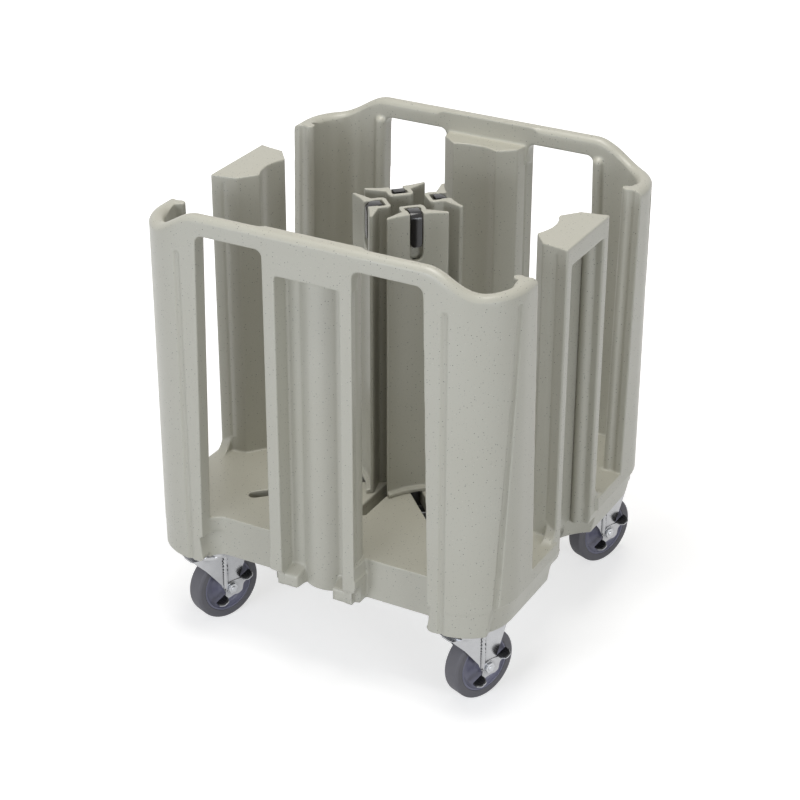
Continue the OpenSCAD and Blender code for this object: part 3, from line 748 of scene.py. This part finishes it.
def metres(points):
    """Points given in millimetres, as metres."""
    return [(p[0] * MM, p[1] * MM) for p in points]


def facing(side):
    """Turn that points Z to the braked side for 1, to the other side for -1."""
    return Matrix.Identity(4) if side > 0 else Matrix.Rotation(math.pi, 4, "X")


def upright(part, u, v):
    """A part turned round the vertical swivel: its Z goes up, at height v on the axle's frame."""
    return moved(part, Matrix.Translation((u, v, 0)) @ Matrix.Rotation(-QUARTER, 4, "X"))


def tyre_part():
    half = WHEEL_HALF / MM
    profile = rounded([
        (48.6, -half + 0.2, 0.8), (51.0, -half, 0.8), (58.4, -half, 1.5), (63.5, -13.2, 3.2),
        (63.5, 13.2, 3.2), (58.4, half, 1.5), (51.0, half, 0.8), (48.6, half - 0.2, 0.8),
        (48.6, 0, 0),
    ], 5)
    return lathe(metres(profile))


def hub_part():
    side = [
        (4.8, 18.2, 0), (12.5, 18.2, 1.0), (14.2, 12.5, 1.5), (19.0, 8.6, 4.0), (31.0, 6.4, 8.0),
        (40.0, 7.6, 6.0), (44.6, 12.8, 2.5), (45.6, 14.9, 0.9), (48.5, 14.9, 0.8),
    ]
    other = [(r, -w, radius) for r, w, radius in reversed(side)]
    return lathe(metres(rounded(side + other, 5)))


def fork_leg(side):
    """One pressed leg of the fork, as a sheet with a bead down its middle. In millimetres."""
    rows = 44
    columns = 40
    top = CROWN_V / MM
    low = -12.5
    boss_r = 12.8
    rear_edge = ((1.0, 13.0, 50.0, top), (-16.5, -21.5, -49.4, -72.7))
    front_u = 12.6
    front_slope = 0.392
    least_u = 2.0
    neck_u = 3.8
    neck_low = -9.0
    neck_run = 10.0
    bead_u = -10.5
    bead_half = 2.6
    bead_rise = 2.6
    crevice_u = -15.0
    crevice_half = 1.2
    crevice_fall = 3.2
    wrap_u = -24.0
    wrap_run = 51.0
    wrap_fall = 9.0
    verts = []
    faces = []
    for i in range(rows + 1):
        v = top + (low - top) * i / rows
        boss = math.sqrt(max(0.0, boss_r ** 2 - v * v)) if v < boss_r else 0.0
        left = float(np.interp(v, *rear_edge))
        right = front_u + front_slope * max(0.0, v)
        if v < 1.0:
            neck = (max(0.0, v - neck_low) / neck_run) ** 2
            left = -max(boss, least_u) - neck_u * neck
            right = max(boss, least_u)
        for j in range(columns + 1):
            u = left + (right - left) * j / columns
            wrap = max(0.0, wrap_u - u) / wrap_run
            w = FORK_OUT / MM - wrap_fall * wrap ** 1.7
            bead = math.exp(-(((u - bead_u) / bead_half) ** 4))
            bead *= min(1.0, max(0.0, (v + 4.0) / 5.0))
            w += bead_rise * bead
            crevice = math.exp(-(((u - crevice_u) / crevice_half) ** 4))
            crevice *= min(1.0, max(0.0, v / 8.0))
            w -= crevice_fall * crevice
            verts.append((u * MM, v * MM, side * w * MM))
    for i in range(rows):
        for j in range(columns):
            a = i * (columns + 1) + j
            faces.append((a, a + 1, a + columns + 2, a + columns + 1))
    return verts, faces


def rivet(u, v, w, radius, side):
    profile = [
        (0.0, 1.7), (radius * 0.35, 1.6), (radius * 0.5, 1.15), (radius * 0.62, 1.6),
        (radius * 0.85, 1.3), (radius, 0.5), (radius, 0.0),
    ]
    place = Matrix.Translation((u * MM, v * MM, side * w * MM))
    return moved(lathe(metres(profile), 32, False), place @ facing(side))


def crown_part():
    """Crown plate, the moving half of the race and its balls."""
    ball_count = 30
    ball_r = 0.0024
    ball_track = (0.0327, 0.0112)
    outline = rounded([
        (-48, -12.5, 6), (-24, -20, 9), (66, -20, 5), (66, 20, 5), (-24, 20, 9), (-48, 12.5, 6),
    ], 6)
    plate = prism(metres(outline), -CROWN_T, 0.0)
    race = rounded([
        (6.2, 0, 0), (36, 0, 0.5), (36.5, 5, 2), (34, 9, 2.5), (31, 8.4, 1), (29, 7, 1),
        (6.2, 7, 0),
    ], 4)
    ring = lathe(metres(race), 72)
    balls = []
    for k in range(ball_count):
        angle = 2 * math.pi * k / ball_count
        place = (ball_track[0] * math.cos(angle), ball_track[0] * math.sin(angle), ball_track[1])
        balls.append(ball(place, ball_r))
    return upright(together(plate, ring, *balls), -TRAIL, CROWN_V)


def plate_part():
    """Mounting plate with the fixed half of the race."""
    outline = rounded([(-50, -40, 12), (50, -40, 12), (50, 40, 12), (-50, 40, 12)], 6)
    sheet = prism(metres(outline), PLATE_UNDER, BASE_Z)
    race = rounded([
        (6.2, 152.0, 0), (28, 152.0, 0.5), (29.5, 151.8, 1), (33.6, 151.9, 1.2), (35.6, 154.5, 2),
        (35.6, 158.2, 0), (6.2, 158.2, 0),
    ], 4)
    return together(sheet, lathe(metres(race), 72))


def nut_part(w, side):
    """Hexagonal nut with a rounded top and the bolt's end showing."""
    across = 9.6
    angles = [math.pi * k / 3 for k in range(6)]
    outline = [(across * math.cos(angle), across * math.sin(angle)) for angle in angles]
    hexagon = prism(metres(outline), 0.0, 0.0042)
    crown = lathe(metres(((0, 4.9), (5.2, 4.9), (7.0, 4.2), (0, 4.2))), 40)
    end = lathe(metres(((0, 6.6), (3.6, 6.6), (4.6, 5.8), (4.6, 0), (0, 0))), 32)
    return moved(together(hexagon, crown, end), Matrix.Translation((0, 0, side * w)) @ facing(side))


def thickened(part, thickness):
    """The part as a sheet of this thickness, with its outer side where it was."""
    mesh = bpy.data.meshes.new("sheet")
    mesh.from_pydata([tuple(v) for v in part[0]], [], part[1])
    obj = new_object("sheet", mesh)
    mod = obj.modifiers.new("solid", "SOLIDIFY")
    mod.thickness = thickness
    mod.offset = -1.0
    apply_modifiers(obj)
    verts = [tuple(v.co) for v in obj.data.vertices]
    faces = [tuple(p.vertices) for p in obj.data.polygons]
    bpy.data.objects.remove(obj)
    return verts, faces


def flipped(part):
    """The part with its faces turned over."""
    return part[0], [tuple(reversed(face)) for face in part[1]]


LEVER_W = 0.0228
LEVER_T = 0.002
PADS = ((29.5, 16.0), (-23.0, -18.0))
PAD_TILT = math.radians(26.0)
SHELF_MIDDLE = 23.8
SHELF_GAP = 0.0006
RING_SUNK = 0.0002
CAP_HEIGHTS = (0.0021, 0.0048)
CAP_INSET = 0.6
CAP_GAP = 0.0002


def pad_place(pad):
    """Where a pad stands on the lever."""
    return Matrix.Translation((pad[0] * MM, pad[1] * MM, 0)) @ Matrix.Rotation(PAD_TILT, 4, "Z")


def lever_part():
    """Brake lever: a flat plate round the axle that runs out to both pads."""
    outline = rounded([
        (42.6, 18.2, 1.2), (42.0, 19.8, 1.0), (24.0, 11.2, 6), (8.7, 12.6, 6), (-4, 11.6, 6),
        (-9.6, 6, 5), (-12, -3, 5), (-14.2, -12.4, 2), (-32.0, -21.0, 1.0), (-31.4, -22.8, 1.2),
        (-19, -22.4, 6), (-11, -20.6, 5), (6.4, -17, 5), (14.5, -18, 5), (22.5, -14.3, 6),
        (25.5, -1, 6), (33, 4.5, 6),
    ], 4)
    plate = prism(metres(outline), LEVER_W, LEVER_W + LEVER_T)
    ring = rounded([(5, 0, 0), (11.5, 0, 0.3), (10.6, 1.3, 0.8), (8.4, 1.3, 0.5), (5, 0.5, 0)], 3)
    ring = lathe([(p.x * MM, p.y * MM + LEVER_W + LEVER_T - RING_SUNK) for p in ring], 48)
    shelves = [shelf(pad, 0.0, LEVER_T, 0.0, LEVER_W + SHELF_GAP) for pad in PADS]
    return together(plate, ring, *shelves)


def shelf(pad, low, high, inset, start):
    """A D-shaped shelf at a pad, between two heights over its sheet's underside."""
    half = 10.5 - inset
    reach = 18.0 - inset
    begin = start / MM - SHELF_MIDDLE
    outline = rounded([
        (-half, begin, 0.4), (half, begin, 0.4), (half, reach * 0.55, 4), (half * 0.52, reach, 5),
        (-half * 0.52, reach, 5), (-half, reach * 0.55, 4),
    ], 5)
    part = prism([(p.x * MM, (p.y + SHELF_MIDDLE) * MM) for p in outline], -high, -low)
    return moved(part, pad_place(pad) @ Matrix.Rotation(QUARTER, 4, "X"))


def cap_part():
    """Black caps on the shelves, each with ribs across its tread."""
    rib_pitch = 3.9
    rib_height = 0.0047
    rib_start = 0.0258
    rib_reach = {-2: 11.2, -1: 14.4, 0: 14.4, 1: 14.4, 2: 11.2}
    rib = rounded([(-0.7, 0, 0), (0.7, 0, 0), (0.5, 0.8, 0.3), (-0.5, 0.8, 0.3)], 3)
    parts = []
    for pad in PADS:
        parts.append(shelf(pad, *CAP_HEIGHTS, CAP_INSET, LEVER_W + LEVER_T + CAP_GAP))
        for k, reach in rib_reach.items():
            bar = prism(metres(rib), rib_start, rib_start + reach * MM)
            step = Matrix.Translation((k * rib_pitch * MM, rib_height, 0))
            parts.append(moved(bar, pad_place(pad) @ step))
    return together(*parts)


def shaft_part():
    """Axle bolt with a washer and a nut at each end."""
    bolt_r = 0.0046
    bolt_low = -0.0222
    bolt_high = 0.0255
    shaft = lathe([(0, bolt_low), (bolt_r, bolt_low), (bolt_r, bolt_high), (0, bolt_high)], 32)
    washer = rounded([(4.8, 24.9, 0), (10.4, 24.9, 0.3), (10.4, 26.1, 0.4), (4.8, 26.1, 0)], 3)
    washer = lathe(metres(washer), 48)
    return together(shaft, washer, nut_part(0.0258, 1), nut_part(0.0218, -1))


def strap(path, half_width, thickness, end_r):
    """A strap along a path of (x, z) points, whose last end has round corners."""
    points = [Vector(p) for p in path]
    length = [0.0]
    for a, b in zip(points, points[1:]):
        length.append(length[-1] + (b - a).length)
    verts = []
    faces = []
    for i, point in enumerate(points):
        ahead = points[min(i + 1, len(points) - 1)] - points[max(i - 1, 0)]
        ahead.normalize()
        side = Vector((-ahead.y, ahead.x)) * thickness / 2
        left = length[-1] - length[i]
        width = half_width
        if left < end_r:
            width -= end_r - math.sqrt(end_r ** 2 - (end_r - left) ** 2)
        for x, z in (point + side, point - side):
            verts += [(x, -width, z), (x, width, z)]
    for i in range(len(points) - 1):
        a = 4 * i
        b = a + 4
        faces += [
            (a, a + 1, b + 1, b), (a + 2, b + 2, b + 3, a + 3),
            (a, b, b + 2, a + 2), (a + 1, a + 3, b + 3, b + 1),
        ]
    faces += [(0, 2, 3, 1), (4 * len(points) - 4, 4 * len(points) - 3, 4 * len(points) - 1,
                             4 * len(points) - 2)]
    return verts, faces


STRAP_T = 0.006
STRAP_HALF = 0.0094
STRAP_END_R = 0.007
STRAP_BEND = 0.009
GRIP_DROP = 0.060
BOSS_R = (0.0042, 0.008)
BOSS_W = (-0.022, -0.004)


def handle_part():
    """Latch handle: a bent strap with its boss over the rod."""
    top = TOWER_TOP - STRAP_T / 2
    low = TOWER_TOP - GRIP_DROP
    leg_x = FRONT_X - STRAP_T + STRAP_T / 2
    bend_x = leg_x - STRAP_BEND
    bend_z = top - STRAP_BEND
    path = [(ROD_X - BOSS_R[1], top), (ROD_X, top), (bend_x, top)]
    for k in range(1, 10):
        angle = math.radians(10 * k)
        path.append((bend_x + STRAP_BEND * math.sin(angle), bend_z + STRAP_BEND * math.cos(angle)))
    for k in range(1, 13):
        path.append((leg_x, bend_z + (low + STRAP_END_R - top + STRAP_BEND) * k / 12))
    for k in range(1, 9):
        path.append((leg_x, low + STRAP_END_R * (1 - math.sin(math.radians(11.25 * k)))))
    inner, outer = BOSS_R
    low, high = BOSS_W
    boss = [(inner, low), (outer, low), (outer, high), (inner, high)]
    boss = moved(lathe(boss, 32), Matrix.Translation((ROD_X, 0, TOWER_TOP)))
    return together(strap(path, STRAP_HALF, STRAP_T, STRAP_END_R), boss)


BEVEL_ANGLE = math.radians(35)


def place_part(name, part, matrix, material, body, node, bevel, angle):
    """Makes a piece of verts and faces, in place of this node on this body."""
    verts, faces = moved(part, matrix)
    mesh = bpy.data.meshes.new(name)
    mesh.from_pydata(verts, [], faces)
    mesh.validate()
    obj = new_object(name, mesh)
    if bevel > 0:
        mod = obj.modifiers.new("bevel", "BEVEL")
        mod.width = bevel
        mod.segments = 3
        mod.limit_method = "ANGLE"
        mod.angle_limit = BEVEL_ANGLE
        mod.harden_normals = False
        apply_modifiers(obj)
    dress(obj, material, body, [node])
    tidy_normals(obj.data)
    smooth_shade(obj, angle)


SHEET_T = 0.0024
FORK = together(
    thickened(fork_leg(1), SHEET_T), thickened(flipped(fork_leg(-1)), SHEET_T), crown_part(),
    rivet(15.7, 28.7, 21.4, 6.5, 1), rivet(15.7, 28.7, 21.4, 6.5, -1),
)

# Name, part, material, body, node, slot, bevel and the angle over which an edge is sharp
AXLE_PIECES = (
    ("fork_pressing", FORK, ZINC, "swivel", "fork", "zinc_steel", 0.0, 35),
    ("axle_bolt", shaft_part(), STEEL, "swivel", "axle", "steel", 0.0, 30),
    ("hub_disc", hub_part(), HUB, "wheel", "hub", "hub_plastic", 0.0, 40),
    ("tyre_ring", tyre_part(), TYRE, "wheel", "tyre", "tyre", 0.0, 40),
    ("brake_plate", lever_part(), ZINC, "brake_lever", "brake", "zinc_steel", 0.0004, 35),
    ("pedal_caps", cap_part(), PEDAL, "brake_lever", "pedals", "pedal_plastic", 0.0005, 35),
)
for corner, (sx, sy) in CORNERS.items():
    own = corner + "_"
    for name, part, material, body_name, node, slot, bevel, angle in AXLE_PIECES:
        place_part(own + name, part, axle_frame(corner), material, own + body_name, own + node,
                   bevel, angle)
    over = Matrix.Translation((sx * CASTER_X, sy * CASTER_Y, 0))
    place_part(own + "top_plate", plate_part(), over, ZINC, "root", own + "plate",
               0.0, 35)
    along = Matrix.Rotation(math.atan2(sy, sx), 4, "Z") @ Matrix.Translation((PULL[corner], 0, 0))
    place_part(own + "handle_grip", handle_part(), along, BLACK, own + "latch", own + "handle",
               0.0011, 40)


# Floor, lights and camera

AMBIENT = 0.22
AMBIENT_COLOUR = (1.0, 0.985, 0.95, 1.0)
FLOOR_HALF = 12.0
FLOOR_GREY = (0.62, 0.62, 0.62, 1.0)
SHADE_FROM = 0.55
SHADE_TO = 1.3
SHADE_GLOW = 0.62

floor_mesh = bpy.data.meshes.new("floor")
floor_mesh.from_pydata([
    (-FLOOR_HALF, -FLOOR_HALF, 0), (FLOOR_HALF, -FLOOR_HALF, 0),
    (FLOOR_HALF, FLOOR_HALF, 0), (-FLOOR_HALF, FLOOR_HALF, 0),
], [], [(0, 1, 2, 3)])
floor = new_object("floor", floor_mesh)
n = Nodes("floor_pale")
n.bsdf.inputs["Base Color"].default_value = FLOOR_GREY
n.bsdf.inputs["Roughness"].default_value = 0.9
n.bsdf.inputs["Specular IOR Level"].default_value = 0.1


def clamp_sum(tree, outputs):
    """The sum of several outputs, never over 1."""
    total = outputs[0]
    for other in outputs[1:]:
        node = tree.nodes.new("ShaderNodeMath")
        node.operation = "ADD"
        node.use_clamp = True
        tree.links.new(total, node.inputs[0])
        tree.links.new(other, node.inputs[1])
        total = node.outputs["Value"]
    return total


def seen_rays(tree):
    """1 for camera, glossy and transmission rays, which show the white background."""
    path = tree.nodes.new("ShaderNodeLightPath")
    names = ("Is Camera Ray", "Is Glossy Ray", "Is Transmission Ray")
    return clamp_sum(tree, [path.outputs[name] for name in names])


# The floor is white where it is seen, and grows a little darker only under the cart
away = n.add("ShaderNodeVectorMath", operation="LENGTH")
n.link(n.place, away.inputs[0])
fade = n.add("ShaderNodeMapRange")
fade.inputs["From Min"].default_value = SHADE_FROM
fade.inputs["From Max"].default_value = SHADE_TO
fade.inputs["To Min"].default_value = SHADE_GLOW
fade.inputs["To Max"].default_value = 1.0
n.link(away.outputs["Value"], fade.inputs["Value"])
glow = n.add("ShaderNodeEmission")
n.link(n.math("MULTIPLY", fade.outputs["Result"], seen_rays(n.tree)), glow.inputs["Strength"])
both = n.add("ShaderNodeAddShader")
n.link(n.bsdf.outputs["BSDF"], both.inputs[0])
n.link(glow.outputs["Emission"], both.inputs[1])
n.link(both.outputs["Shader"], n.tree.nodes["Material Output"].inputs["Surface"])
floor_mesh.materials.append(n.material)

world = bpy.data.worlds.new("studio")
bpy.context.scene.world = world
world.use_nodes = True
background = world.node_tree.nodes["Background"]
background.inputs["Color"].default_value = AMBIENT_COLOUR
background.inputs["Strength"].default_value = AMBIENT
white = world.node_tree.nodes.new("ShaderNodeBackground")
white.inputs["Color"].default_value = (1.0, 1.0, 1.0, 1.0)
white.inputs["Strength"].default_value = 1.0
either = world.node_tree.nodes.new("ShaderNodeMixShader")
world.node_tree.links.new(seen_rays(world.node_tree), either.inputs["Fac"])
world.node_tree.links.new(background.outputs["Background"], either.inputs[1])
world.node_tree.links.new(white.outputs["Background"], either.inputs[2])
world.node_tree.links.new(
    either.outputs["Shader"], world.node_tree.nodes["World Output"].inputs["Surface"]
)


def area_light(name, place, target, size, power, colour):
    """A rectangular lamp at a place that points at a target."""
    lamp = bpy.data.lights.new(name, "AREA")
    lamp.shape = "RECTANGLE"
    lamp.size = size[0]
    lamp.size_y = size[1]
    lamp.energy = power
    lamp.color = colour
    obj = bpy.data.objects.new(name, lamp)
    bpy.context.scene.collection.objects.link(obj)
    obj.location = place
    obj.rotation_euler = (Vector(target) - Vector(place)).to_track_quat("-Z", "Y").to_euler()


MIDDLE = (0.0, 0.0, 0.45)
area_light("key", (-0.7, -3.4, 1.1), MIDDLE, (1.8, 1.2), 51, (0.87, 0.91, 1.0))
area_light("top", (0.0, -0.2, 3.2), MIDDLE, (1.6, 1.6), 54, (1.0, 0.98, 0.94))
area_light("side", (3.0, -1.5, 1.0), MIDDLE, (1.2, 1.2), 27, (0.9, 0.94, 1.0))

FOCAL_PX = 2115.41
PICTURE_PX = 800.0
SENSOR = 36.0
AZIMUTH = math.radians(28.6)
ELEVATION = math.radians(27.57)
ROLL = math.radians(0.15)
DISTANCE = 3.8446
TARGET = Vector((-0.0871, 0.1413, 0.2977))

toward = Vector((
    math.sin(AZIMUTH) * math.cos(ELEVATION),
    -math.cos(AZIMUTH) * math.cos(ELEVATION),
    math.sin(ELEVATION),
))
forward = -toward
right = forward.cross(Vector((0, 0, 1))).normalized()
up = right.cross(forward)
right_r = math.cos(ROLL) * right + math.sin(ROLL) * up
up_r = -math.sin(ROLL) * right + math.cos(ROLL) * up
lens = bpy.data.cameras.new("camera")
lens.sensor_width = SENSOR
lens.lens = FOCAL_PX / PICTURE_PX * SENSOR
lens.clip_end = 60.0
camera = bpy.data.objects.new("camera", lens)
bpy.context.scene.collection.objects.link(camera)
turn = Matrix((right_r, up_r, toward)).transposed()
camera.matrix_world = Matrix.Translation(TARGET + DISTANCE * toward) @ turn.to_4x4()
bpy.context.scene.camera = camera
bpy.context.scene.view_settings.view_transform = "Standard"
